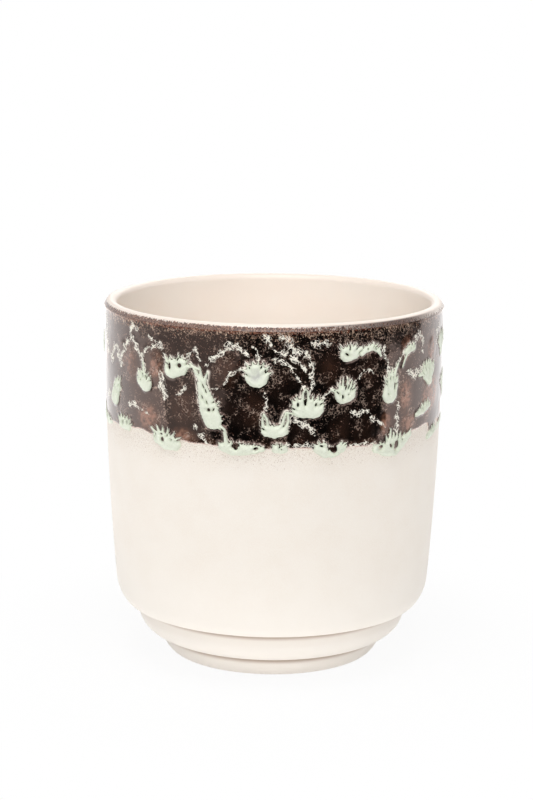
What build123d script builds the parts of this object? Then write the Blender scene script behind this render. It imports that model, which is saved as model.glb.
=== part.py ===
"""Stepped ceramic cachepot with a dark glaze band and raised pale glaze drops.

The pot is cast in clay as one shell. Three glaze coats lie on it: a liner that runs over the
lip, a matt coat on the lower wall and a dark gloss coat round the top. Pale glaze drops stand
proud of the dark band and along its lower hem. The front of the pot faces -Y, the foot stands
on Z = 0 and the pot's centre line is the Z axis. Lengths are in millimetres, angles in degrees.
"""
import os
from math import acos, asin, atan2, degrees, hypot, sqrt

from build123d import *

# Clay body, outside
clay_height = 170.4
rim_radius = 79.0
heel_radius = 74.5
heel_height = 36.5
wall_bow = 1.55
heel_tuck = 4.2
heel_edge_height = 26.8
tier_step = 6.6
tier_edge_height = 10.9
tier_round = 9.6
tier_round_share = 0.99
foot_radius = 52.3
foot_round = 8.6
foot_round_share = 0.953

# Clay body, inside and underneath
lip_thickness = 4.4
tier_wall = 3.2
cavity_round = 46.0
floor_top = 9.0
foot_ring_width = 6.5
foot_recess = 2.5
foot_recess_flare = 1.5

# Glaze coats
liner_coat = 0.6
cream_coat = 0.6
band_coat = 1.0
band_depth = 51.0
bare_foot = 1.2

# Raised glaze drops: the size of a middling drop, and how far drops stand proud
drop_width = 12.0
drop_rise = 1.5
tail_rise = 0.7
hem_rise = 1.6

# Drops on the band. Each row is the turn from the front and then shares: height above the hem
# as a share of the band, width and tail length as shares of a middling drop's width, and last
# the tail's lean from upright in degrees.
wall_drop_shares = [
    (-64, 0.33, 0.75, 0.45, 5),
    (-47, 0.54, 0.75, 0.75, -8),
    (-33, 0.66, 1.00, 0.30, -10),
    (-22, 0.41, 0.85, 1.85, -14),
    (-6, 0.63, 0.90, 0.15, 0),
    (1.5, 0.20, 0.85, 0.50, 12),
    (11, 0.36, 1.20, 0.35, 6),
    (23, 0.47, 1.00, 0.30, -6),
    (24, 0.80, 0.85, 0.25, -15),
    (34, 0.84, 0.45, 0.55, 75),
    (41, 0.49, 0.75, 0.80, 0),
    (49, 0.76, 0.50, 0.90, 20),
    (61, 0.51, 0.80, 0.50, 0),
    (60, 0.21, 0.65, 0.40, 10),
    (76, 0.72, 0.80, 0.50, -8),
    (83, 0.33, 1.00, 0.40, 6),
    (97, 0.58, 0.75, 0.90, -12),
    (108, 0.25, 0.90, 0.50, 8),
    (114, 0.76, 0.90, 0.25, -20),
    (126, 0.47, 1.10, 0.40, -4),
    (141, 0.66, 0.80, 0.80, 6),
    (147, 0.26, 0.75, 0.60, 10),
    (160, 0.45, 1.05, 0.40, -8),
    (173, 0.70, 0.90, 0.20, 0),
    (185, 0.38, 0.80, 1.70, 12),
    (200, 0.62, 1.00, 0.35, -6),
    (209, 0.25, 0.85, 0.50, 8),
    (222, 0.51, 1.15, 0.35, 4),
    (236, 0.75, 0.75, 0.60, -16),
    (241, 0.31, 0.90, 0.40, 6),
    (255, 0.55, 0.85, 0.70, -5),
    (267, 0.26, 0.80, 0.50, 10),
    (274, 0.68, 0.95, 0.35, -12),
]

# Drops along the hem, in the same columns: wide and low, so their tails lie nearly level.
hem_drop_shares = [
    (-58, 0.02, 0.60, 0.35, 62),
    (-37, 0.00, 0.70, 0.75, 80),
    (-11, -0.03, 0.58, 1.00, 92),
    (2, -0.02, 0.42, 0.15, 90),
    (18, -0.04, 0.58, 0.75, 86),
    (42, -0.06, 0.78, 0.90, 84),
    (67, -0.06, 0.65, 0.30, 90),
    (79, -0.03, 0.60, 0.60, 96),
    (103, -0.05, 0.75, 0.80, 84),
    (126, -0.02, 0.50, 0.30, 90),
    (148, -0.05, 0.70, 0.85, 95),
    (173, -0.03, 0.60, 0.95, 87),
    (196, -0.02, 0.45, 0.20, 90),
    (219, -0.06, 0.75, 0.80, 93),
    (243, -0.03, 0.60, 0.70, 86),
    (265, -0.05, 0.70, 0.55, 94),
    (284, -0.02, 0.55, 0.60, 84),
]

# Radii and heights that follow from the sizes above
heel_edge_radius = heel_radius - heel_tuck
tier_radius = heel_edge_radius - tier_step
lip_round = lip_thickness / 2
band_top = clay_height - lip_round
hem_height = band_top - band_depth


def wall_circle():
    """Centre and radius of the wall's slight outward bow, from the heel up to the lip."""
    rise = band_top - heel_height
    spread = rim_radius - heel_radius
    half_chord = hypot(rise, spread) / 2
    radius = (half_chord**2 + wall_bow**2) / (2 * wall_bow)
    inset = (radius - wall_bow) / (2 * half_chord)
    centre_x = (rim_radius + heel_radius) / 2 - inset * rise
    centre_z = (band_top + heel_height) / 2 + inset * spread
    return centre_x, centre_z, radius


def wall_radius(height, coat):
    """Outer radius of the wall under a coat, at a height."""
    centre_x, centre_z, radius = wall_circle()
    return centre_x + sqrt(radius**2 - (height - centre_z) ** 2) + coat


def rounded_edge(outer, rounding, round_share, low, coat):
    """Arc under a coat, from a disc's low edge up round to its upright side."""
    centre_z = low + rounding * round_share
    turn = degrees(asin((centre_z - low + coat) / (rounding + coat)))
    return CenterArc((outer - rounding, centre_z), rounding + coat, -turn, turn)


def disc_section(outer, rounding, round_share, low, high, coat):
    """Half section of a disc under a coat, rounded under at its low edge and upright above."""
    edge = rounded_edge(outer, rounding, round_share, low, coat)
    return make_face([
        Line((0, low - coat), edge @ 0),
        edge,
        Line(edge @ 1, (outer + coat, high)),
        Line((outer + coat, high), (0, high)),
        Line((0, high), (0, low - coat)),
    ])


def body_section(coat):
    """Half section of the body above its heel edge as if filled, up to the lip, under a coat."""
    middle = (heel_height + band_top) / 2
    wall = ThreePointArc(
        (heel_radius + coat, heel_height),
        (wall_radius(middle, coat), middle),
        (rim_radius + coat, band_top),
    )
    heel_edge = (heel_edge_radius + coat, heel_edge_height - coat)
    heel = TangentArc(wall @ 0, heel_edge, tangent=(wall % 0) * -1)
    return make_face([
        Line((0, heel_edge_height - coat), heel_edge),
        heel,
        wall,
        Line(wall @ 1, (0, band_top)),
        Line((0, band_top), (0, heel_edge_height - coat)),
    ])


def outside_section(coat):
    """Half section of the pot as if filled, up to the lip, under a coat: body on tier on foot."""
    tier = disc_section(tier_radius, tier_round, tier_round_share, tier_edge_height, heel_edge_height, coat)
    foot = disc_section(foot_radius, foot_round, foot_round_share, 0, heel_edge_height, coat)
    return body_section(coat) + tier + foot


def cavity_lines(coat):
    """Lines of the inside, under a coat: the floor, the round past the tier, the side up to the lip."""
    centre_z = floor_top + cavity_round
    past_tier = sqrt(cavity_round**2 - (centre_z - heel_edge_height) ** 2)
    centre_x = tier_radius - tier_wall - past_tier
    top_x = rim_radius - lip_thickness - coat
    inner_round = cavity_round - coat
    to_top = hypot(top_x - centre_x, band_top - centre_z)
    turn = atan2(band_top - centre_z, top_x - centre_x) - acos(inner_round / to_top)
    bowl = CenterArc((centre_x, centre_z), inner_round, -90, 90 + degrees(turn))
    return [Line((0, floor_top + coat), bowl @ 0), bowl, Line(bowl @ 1, (top_x, band_top))]


def lip_line(coat):
    """Half circle over the lip, under a coat, from outside to inside."""
    return CenterArc((rim_radius - lip_round, band_top), lip_round + coat, 0, 180)


def clay_section():
    """Half section of the clay shell with its floor, lip and foot ring."""
    cavity = cavity_lines(0)
    brim = Line(cavity[-1] @ 1, (0, band_top))
    cavity_face = make_face([*cavity, brim, Line(brim @ 1, cavity[0] @ 0)])
    lip = lip_line(0)
    lip_face = make_face([lip, Line(lip @ 1, lip @ 0)])
    ring_outer = rounded_edge(foot_radius, foot_round, foot_round_share, 0, 0) @ 0
    ring_inner = ring_outer.X - foot_ring_width
    recess = make_face(Polyline(
        (0, 0), (ring_inner, 0), (ring_inner - foot_recess_flare, foot_recess), (0, foot_recess), close=True))
    return outside_section(0) - cavity_face + lip_face - recess


def liner_section():
    """Half section of the liner glaze, from the floor up the inside and over the lip."""
    under = [*cavity_lines(0), lip_line(0)]
    over = [*cavity_lines(liner_coat), lip_line(liner_coat)]
    return make_face([
        *under,
        *over,
        Line(under[0] @ 0, over[0] @ 0),
        Line(under[-1] @ 0, over[-1] @ 0),
    ])


def coat_section(coat, low, high):
    """Half section of an outside coat between two heights."""
    reach = rim_radius + heel_radius
    zone = make_face(Polyline((0, low), (reach, low), (reach, high), (0, high), close=True))
    return (outside_section(coat) - outside_section(0)) & zone


def spin(section):
    """Solid of a half section turned round the pot's centre line."""
    return revolve(Plane.XZ * section, axis=Axis.Z)


def drop_blob(width, rise, end_rise, tail):
    """Tapered round-ended blob along Y, and how deep its middle line lies under the wall."""
    bulb = ((width / 2) ** 2 + rise**2) / (2 * rise)
    depth = bulb - rise
    tip = depth + end_rise
    taper = degrees(asin((bulb - tip) / tail))
    bulb_arc = CenterArc((0, -tail / 2), bulb, -90, 90 + taper)
    tip_arc = CenterArc((0, tail / 2), tip, taper, 90 - taper)
    side = Line(bulb_arc @ 1, tip_arc @ 0)
    middle = Line(tip_arc @ 1, bulb_arc @ 0)
    return revolve(make_face([bulb_arc, side, tip_arc, middle]), axis=Axis.Y), depth


def place_drop(place, rise, end_rise, coat, wall_solid):
    """One drop at its row's place, seated face to face on the coats behind it."""
    turn, height_share, width_share, tail_share, lean = place
    height = hem_height + height_share * band_depth
    blob, depth = drop_blob(width_share * drop_width, rise, end_rise, tail_share * drop_width)
    radius = wall_radius(height, coat) - depth
    upright = Pos(0, -radius, height) * Rot(0, lean, 0) * Rot(90, 0, 0)
    return Rot(0, 0, turn) * upright * blob - wall_solid


band = spin(coat_section(band_coat, hem_height, band_top))
cream = spin(coat_section(cream_coat, bare_foot, hem_height))
pieces = {
    "clay_body": spin(clay_section()),
    "liner_glaze": spin(liner_section()),
    "cream_glaze": cream,
    "band_glaze": band,
}
wall_solid = spin(outside_section(0)) + cream + band
for number, place in enumerate(wall_drop_shares, 1):
    pieces[f"wall_drop_{number:02d}"] = place_drop(place, drop_rise, tail_rise, band_coat, wall_solid)
for number, place in enumerate(hem_drop_shares, 1):
    pieces[f"hem_drop_{number:02d}"] = place_drop(place, hem_rise, hem_rise, cream_coat, wall_solid)

os.makedirs("parts", exist_ok=True)
for name, solid in pieces.items():
    export_step(solid, f"parts/{name}.step")
    print(name, round(solid.volume, 1))
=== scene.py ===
# %% [markdown]
# # A stepped cachepot with a dark glaze band and pale glaze drops
#
# A cachepot is a cover for a plain nursery pot. This one was cast in clay and glazed three ways:
# a satin cream liner that runs over the lip, a matt cream coat on the lower wall, and a dark gloss
# coat round the top, on which a pale, stiff glaze crawled into raised drops and a lace of threads.
# The imported CAD model gives every size and place, so the lesson starts by loading it as a fixed
# frame.

# %% Load the imported model
import math

import bmesh
import bpy
import numpy as np
from mathutils import Matrix, Vector


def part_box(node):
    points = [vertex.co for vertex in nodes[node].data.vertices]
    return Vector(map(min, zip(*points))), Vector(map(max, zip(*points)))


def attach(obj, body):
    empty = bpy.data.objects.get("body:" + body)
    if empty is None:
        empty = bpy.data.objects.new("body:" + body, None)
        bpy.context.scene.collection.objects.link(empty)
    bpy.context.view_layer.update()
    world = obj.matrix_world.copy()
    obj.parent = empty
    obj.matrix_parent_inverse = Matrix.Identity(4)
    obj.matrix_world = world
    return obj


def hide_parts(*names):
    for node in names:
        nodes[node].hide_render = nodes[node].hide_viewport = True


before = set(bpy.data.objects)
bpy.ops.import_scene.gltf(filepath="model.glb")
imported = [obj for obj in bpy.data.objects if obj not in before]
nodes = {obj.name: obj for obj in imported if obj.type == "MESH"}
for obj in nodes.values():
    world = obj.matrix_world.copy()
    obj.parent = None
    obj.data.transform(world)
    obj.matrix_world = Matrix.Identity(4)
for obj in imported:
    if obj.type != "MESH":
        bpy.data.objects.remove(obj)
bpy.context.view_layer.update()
MM = 0.001

# %% [markdown]
# ## The camera
#
# The photograph looks slightly down on the pot, so the far rim shows as a flat ellipse. A long lens
# from about a metre away gives the same mild perspective. The camera is set first, because every
# later choice is checked through it.

# %% Camera
def new_object(name, data):
    """An object at the origin, linked into the scene."""
    made = bpy.data.objects.new(name, data)
    bpy.context.scene.collection.objects.link(made)
    return made


camera_place = (-0.0032, -0.934, 0.319)
down_angle = 11.96
roll_angle = 0.49
camera = new_object("camera", bpy.data.cameras.new("camera"))
camera.data.lens = 90
camera.data.sensor_width = 36
look_down = Matrix.Rotation(math.radians(90 - down_angle), 4, "X")
slight_roll = Matrix.Rotation(math.radians(roll_angle), 4, "Z")
camera.matrix_world = Matrix.Translation(camera_place) @ look_down @ slight_roll
bpy.context.scene.camera = camera
bpy.context.scene.view_settings.view_transform = "Standard"
print("camera at", camera_place, "looking down by", down_angle, "degrees")

# %% [markdown]
# ## Measuring the wall
#
# Glaze pieces have to sit on the wall exactly, and the wall bows out a little between heel and lip.
# The outer radius of the band's CAD solid is read from its vertices and described by a short curve,
# so that any place on the wall can be given as a turn from the front and a height.

# %% Wall curve
def mesh_points(mesh):
    """Places of a mesh's vertices."""
    places = np.zeros(len(mesh.vertices) * 3)
    mesh.vertices.foreach_get("co", places)
    return places.reshape(-1, 3)


def outer_curve(node):
    """Outer radius of a turned coat as a quadratic in height."""
    places = mesh_points(nodes[node].data)
    radius = np.hypot(places[:, 0], places[:, 1])
    middle = np.polyfit(places[:, 2], radius, 2)
    outer = radius > np.polyval(middle, places[:, 2])
    return np.polyfit(places[outer, 2], radius[outer], 2)


def wall_radius(height):
    """Outer radius of the even dark coat at a height, followed on below its hem."""
    return np.polyval(band_curve, height)


def turn_of(places):
    """Turn of each place from the front of the pot, in degrees."""
    return np.degrees(np.arctan2(places[:, 0], -places[:, 1]))


def turned_places(turn, radius, height):
    """Places at a turn from the front, a radius and a height."""
    angle = np.radians(turn)
    return np.stack([radius * np.sin(angle), -radius * np.cos(angle), height], axis=1)


def degrees_between(turn, other):
    """Signed difference of two turns, the short way round."""
    return (turn - other + 180) % 360 - 180


def along_wall(turn, middle_turn):
    """Way round the wall from one turn to another, in millimetres."""
    return np.radians(degrees_between(turn, middle_turn)) * wall_round / MM


band_curve = outer_curve("band_glaze")
band_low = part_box("band_glaze")[0].z
band_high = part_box("band_glaze")[1].z
wall_round = float(wall_radius((band_low + band_high) / 2))
print("band from", round(band_low / MM, 1), "to", round(band_high / MM, 1), "mm high,",
      "radius", round(wall_round / MM, 2), "mm")


# %% [markdown]
# ## Turned coats
#
# The lower wall and the liner are shapes of revolution, as the clay was on the potter's mould. The
# CAD solid of each coat is cut through its centre line, which leaves the outline of its section as
# a wire, and the wire is spun round again in many fine steps. A bevel then softens the tiers'
# corners, because glaze never keeps a knife edge: it thins on a rim and pools in a corner.

# %% Section, spin and soften
same_place = 1e-6
cut_slack = 1e-7
straight_angle = math.radians(0.2)
corner_angle = math.radians(25)
crease_angle = math.radians(50)


def is_level(edge):
    """Whether an edge's two ends lie at one height."""
    return abs(edge.verts[0].co.z - edge.verts[1].co.z) < same_place


def half_section(node):
    """Wire of a CAD solid's section, on the front side of the centre line."""
    bm = bmesh.new()
    bm.from_mesh(nodes[node].data)
    bmesh.ops.remove_doubles(bm, verts=bm.verts, dist=same_place)
    everything = [*bm.verts, *bm.edges, *bm.faces]
    cut = bmesh.ops.bisect_plane(bm, geom=everything, dist=cut_slack,
                                 plane_co=(0, 0, 0), plane_no=(1, 0, 0))
    on_cut = {part for part in cut["geom_cut"] if isinstance(part, bmesh.types.BMEdge)}
    front = {edge for edge in on_cut if max(vert.co.y for vert in edge.verts) < same_place}
    on_axis = {edge for edge in front if min(vert.co.y for vert in edge.verts) > -same_place}
    wire = front - on_axis
    bmesh.ops.delete(bm, geom=list(bm.faces), context="FACES_ONLY")
    bmesh.ops.delete(bm, geom=[edge for edge in bm.edges if edge not in wire], context="EDGES")
    bmesh.ops.delete(bm, geom=[vert for vert in bm.verts if not vert.link_edges], context="VERTS")
    bmesh.ops.dissolve_limit(bm, angle_limit=straight_angle, verts=bm.verts, edges=bm.edges)
    return bm


def spin_round(bm, steps):
    """Spins a section wire right round the pot's centre line and closes it."""
    bmesh.ops.spin(bm, geom=[*bm.verts, *bm.edges], cent=(0, 0, 0), axis=(0, 0, 1),
                   angle=math.tau, steps=steps, use_merge=True)
    bmesh.ops.remove_doubles(bm, verts=bm.verts, dist=2 * same_place)
    bmesh.ops.recalc_face_normals(bm, faces=bm.faces)


def soften_corners(bm, low, high, offset):
    """Bevels the sharp rings between two heights."""
    sharp = [edge for edge in bm.edges if is_level(edge) and low < edge.verts[0].co.z < high
             and edge.calc_face_angle(0) > corner_angle]
    bmesh.ops.bevel(bm, geom=sharp, offset=offset, affect="EDGES", segments=4, profile=0.5, material=-1)
    return len(sharp)


def mesh_object(name, bm):
    """An object of a finished bmesh."""
    mesh = bpy.data.meshes.new(name)
    bm.to_mesh(mesh)
    bm.free()
    return new_object(name, mesh)


def new_piece(name, bm, slot, *stands_for):
    """A smooth piece of a finished bmesh, riding on the pot and standing for its CAD nodes."""
    piece = mesh_object(name, bm)
    piece.data.shade_smooth()
    piece.data.set_sharp_from_angle(angle=crease_angle)
    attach(piece, "root")
    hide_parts(*stands_for)
    return piece


def keep_numbers(mesh, **numbers):
    """Keeps numbers on a mesh's points, for its finish."""
    for name, values in numbers.items():
        kept = mesh.attributes.new(name, "FLOAT", "POINT")
        kept.data.foreach_set("value", values.astype(np.float32))


# %% Cream wall and liner
coat_steps = 288
hem_slack = 0.1 * MM
least_ledge = 2 * MM
under_band = 4 * MM
tier_heights = (3 * MM, 40 * MM)
corner_round = 0.55 * MM

cream_places = mesh_points(nodes["cream_glaze"].data)
cream_top = cream_places[cream_places[:, 2] > band_low - hem_slack]
coat_step = wall_radius(band_low) - np.hypot(cream_top[:, 0], cream_top[:, 1]).max()
bm = half_section("cream_glaze")
ledge_depths = {}
for edge in bm.edges:
    if is_level(edge) and edge.calc_length() > least_ledge and edge.verts[0].co.z > least_ledge:
        ledge_depths[round(edge.verts[0].co.z / MM, 1)] = round(edge.calc_length() / MM, 1)
ledges = sorted(ledge_depths.items())[0::2]
for vert in bm.verts:
    if vert.co.z > band_low - hem_slack:
        wall_shift = wall_radius(vert.co.z + under_band) - wall_radius(vert.co.z)
        vert.co += Vector((0, -wall_shift, under_band))
print("the band stands", round(coat_step / MM, 2), "mm proud of the cream; ledges at", ledges)
spin_round(bm, coat_steps)
softened = soften_corners(bm, *tier_heights, corner_round)
cream_wall = new_piece("cream_wall", bm, "cream_matt_glaze", "cream_glaze")
print("cream wall:", len(cream_wall.data.polygons), "faces,", softened, "sharp edges softened")

bm = half_section("liner_glaze")
spin_round(bm, coat_steps)
satin_liner = new_piece("satin_liner", bm, "cream_satin_glaze", "liner_glaze")
print("liner:", len(satin_liner.data.polygons), "faces")

# %% [markdown]
# ## The lie of the dark band
#
# The dark glaze is thick and runny. It settled in low smooth hummocks, and the pale glaze was drawn
# to the hollows between them, where it dried as arches of fine lace. So the hummocks come first:
# each is a turn, a height, a half width and a half height in millimetres, and how thin and brown the
# glaze is on it. A vein of lace is a run of points: turn, height and half width. Those on the front
# follow the photograph. The hidden side gets them twice more, mirrored and moved a little by a fixed
# seed.

# %% Hummocks and veins
front_hummocks = [
    (-54, 148, 6, 11, 1.1), (-41, 149, 6, 9, 1.3), (-30, 133, 8, 11, 0.4), (-15, 151, 7, 10, 0.5),
    (-6, 133, 7, 9, 0.3), (2, 147, 6, 9, 0.1), (8.5, 151, 4, 6, 0.1), (18, 151, 5, 9, 0.3),
    (31, 149, 6, 9, 0.2), (30, 122, 7, 8, 0.2), (48, 135, 6, 10, 1.4), (11, 120, 6, 5, 0.1),
    (-45, 125, 9, 8, 1.4), (21, 123, 6, 7, 0.2), (48, 157, 5, 7, 1.5), (62, 131, 8, 11, 1.6),
    (65, 154, 6, 8, 1.3), (-70, 150, 6, 9, 0.4), (-30, 119, 8, 5, 1.3), (39, 124, 4, 7, 1.5),
    (50, 122, 7, 7, 1.4),
]
front_veins = [
    [(-60, 149, 0.8), (-57, 155, 0.9), (-54, 160, 0.9), (-51, 157, 0.9), (-48, 152, 1.0),
     (-46, 146, 0.8)],
    [(-54, 160, 0.7), (-53, 165, 1.0), (-50, 164, 0.7)],
    [(-47, 153, 0.7), (-44, 157, 0.7), (-40, 159, 0.8), (-37, 154, 0.6)],
    [(-44, 162, 0.7), (-41, 160, 0.6), (-38, 158, 0.6)],
    [(-28, 155, 0.7), (-26, 159, 0.6), (-24, 155, 0.7)],
    [(-22, 152, 0.6), (-18, 157, 0.8), (-13, 162, 1.2), (-11, 161, 0.9), (-8, 157, 0.5)],
    [(-20, 141, 0.35), (-17, 143, 0.35), (-14, 148, 0.8), (-11, 152, 0.5), (-9, 152, 0.4)],
    [(0, 155, 0.7), (1, 157, 0.8), (4, 154, 0.8), (7, 149, 0.6), (9, 144, 0.7)],
    [(2, 166, 0.8), (4, 165, 1.0), (6, 161, 1.3), (9, 159, 1.1), (11, 157, 0.7), (12, 153, 0.8),
     (12, 142, 0.7)],
    [(0, 160, 0.6), (3, 159, 0.8), (6, 160, 1.0)],
    [(5, 157, 0.9), (8, 155, 0.7), (10, 150, 0.4)],
    [(13, 163, 1.1), (17, 163, 1.0)],
    [(37, 158, 0.8), (39, 152, 0.6), (40, 146, 0.7)],
    [(25, 143, 0.4), (28, 147, 0.5), (31, 150, 0.6), (34, 148, 0.5)],
    [(15, 138, 0.4), (18, 141, 0.6)],
    [(47, 156, 0.5), (44, 152, 0.45), (43, 148, 0.5), (41, 145, 0.6)],
    [(52, 157, 0.8), (54, 163, 0.9), (57, 160, 0.8), (57, 154, 0.7)],
    [(48, 146, 0.9), (52, 144, 1.4), (56, 145, 1.4), (58, 143, 1.0)],
    [(25, 132, 0.6), (27, 130, 1.1), (30, 131, 0.6)],
    [(31, 131, 0.6), (34, 127, 0.8), (39, 122, 0.35)],
    [(7, 129, 0.9), (11, 126, 1.1), (13, 122, 0.7)],
    [(44, 133, 0.8), (44, 127, 0.8), (44, 120, 0.9)],
    [(-39, 145, 1.0), (-38, 140, 1.5), (-37, 136, 1.0)],
    [(-55, 129, 0.7), (-53, 129, 1.3), (-51, 128.5, 0.6), (-47, 127.5, 0.4), (-44, 126, 0.35)],
    [(-63, 153, 1.3), (-60, 146, 1.0)],
    [(-33, 137, 0.5), (-30, 140, 0.6), (-28, 144, 0.5)],
    [(-26, 124, 0.6), (-23, 120, 0.8), (-22, 117, 0.6)],
    [(-6, 161, 0.6), (-5, 157, 0.8)],
    [(-3, 142, 0.5), (-2, 134, 0.6)],
    [(-3, 166, 1.0), (-1, 162, 0.8)],
    [(4, 117.8, 0.6), (8, 117.4, 0.9), (12, 117.2, 0.6)],
    [(25, 116.4, 0.6), (29, 115.8, 0.9), (34, 116.4, 0.7)],
]
hidden_turns = (124, 236)
hidden_squeeze = 0.92
hidden_drift = 3
hidden_vein_share = 0.85
hidden_pick = np.random.default_rng(21)
hummocks = list(front_hummocks)
veins = list(front_veins)
for middle_turn in hidden_turns:
    for turn, height, *sizes in front_hummocks:
        drift = hidden_pick.uniform(-hidden_drift, hidden_drift)
        hummocks.append((middle_turn - hidden_squeeze * turn, height + drift, *sizes))
    for vein in front_veins:
        drift = hidden_pick.uniform(-hidden_drift, hidden_drift)
        if hidden_pick.uniform() < hidden_vein_share:
            veins.append([(middle_turn - hidden_squeeze * turn + drift, height, half)
                          for turn, height, half in vein])
print("hummocks:", len(hummocks), "veins:", len(veins))


# %% Relief and lace over the wall
hummock_rise = 0.18 * MM
lip_fade = 4 * MM


def hummock_fields(turn, height):
    """How full the dark glaze swells, from 0 to about 1, and how thin and brown it is there."""
    fullest = 1.2
    swell, thin = np.zeros((2, len(turn)))
    for middle_turn, middle_height, half_width, half_height, thinness in hummocks:
        along = along_wall(turn, middle_turn) / half_width
        up = (height / MM - middle_height) / half_height
        here = np.clip(1 - along**2 - up**2, 0, 1)
        swell += here**2
        thin = np.maximum(thin, thinness * here)
    return np.minimum(swell, fullest), thin


def relief(turn, height):
    """How far the dark glaze stands past its even coat, in metres."""
    near_top = np.clip((band_high - height) / lip_fade, 0, 1)
    return hummock_rise * hummock_fields(turn, height)[0] * near_top


def lace_fields(turn, height):
    """Strength of the pale lace from 0 to 1, and the way along and across its nearest vein in mm."""
    way_to_next = 40.0
    strength, lace_along, lace_across = np.zeros((3, len(turn)))
    wavy_turn = turn + 0.3 * np.sin(0.9 * height / MM) + 0.2 * np.sin(2.3 * height / MM + 1)
    wavy_height = height / MM + 0.35 * np.sin(np.radians(57 * turn))
    wavy_height = wavy_height + 0.25 * np.sin(np.radians(131 * turn))
    for number, vein in enumerate(veins):
        walked = way_to_next * number
        for (turn_a, height_a, half_a), (turn_b, height_b, half_b) in zip(vein, vein[1:]):
            along = along_wall(wavy_turn, turn_a)
            up = wavy_height - height_a
            run = np.radians(turn_b - turn_a) * wall_round / MM
            climb = height_b - height_a
            length = math.hypot(run, climb)
            share = np.clip((along * run + up * climb) / length**2, 0, 1)
            apart = np.hypot(along - share * run, up - share * climb)
            way = walked + share * length
            half = (half_a + share * (half_b - half_a)) * (1.1 + 0.35 * np.sin(1.3 * way))
            here = np.exp(-((apart / (1.5 * half)) ** 2)) * np.minimum(0.5 + 0.45 * half, 1)
            nearer = here > strength
            strength = np.where(nearer, here, strength)
            lace_along = np.where(nearer, way, lace_along)
            lace_across = np.where(nearer, (along * climb - up * run) / length, lace_across)
            walked += length
    return strength, lace_along, lace_across


# %% [markdown]
# ## The raised drops
#
# The pale glaze is stiff: where it is thick it beads into drops with smooth round bottoms and torn,
# finger-like tops, and small bubbles left dark holes in it. A drop is drawn flat, in millimetres
# from the middle of its CAD solid. Each row is a strand: a run of across, up and half width, where a
# row without its last half width ends in a finger's tip. The first strand is the fat body, and the
# others are arms and fingers. Holes are across, up, half width, half height and tilt. The fine tears
# round the upper edge follow no drawing: a seeded loop sets them.

# %% Drops drawn from the photograph
stout_root = 0.7
stout_tip = 0.2
fine_tip = 0.15


def drawn(*rows, holes=(), **more):
    """A drop's form: its strands as lists of points, its holes, and how it is hollowed or shifted."""
    strands = []
    for row in rows:
        tip = stout_tip if row[2] > stout_root else fine_tip
        row += (tip,) * (-len(row) % 3)
        strands.append([row[start:start + 3] for start in range(0, len(row), 3)])
    return dict(strands=strands, holes=list(holes), **more)


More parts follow.
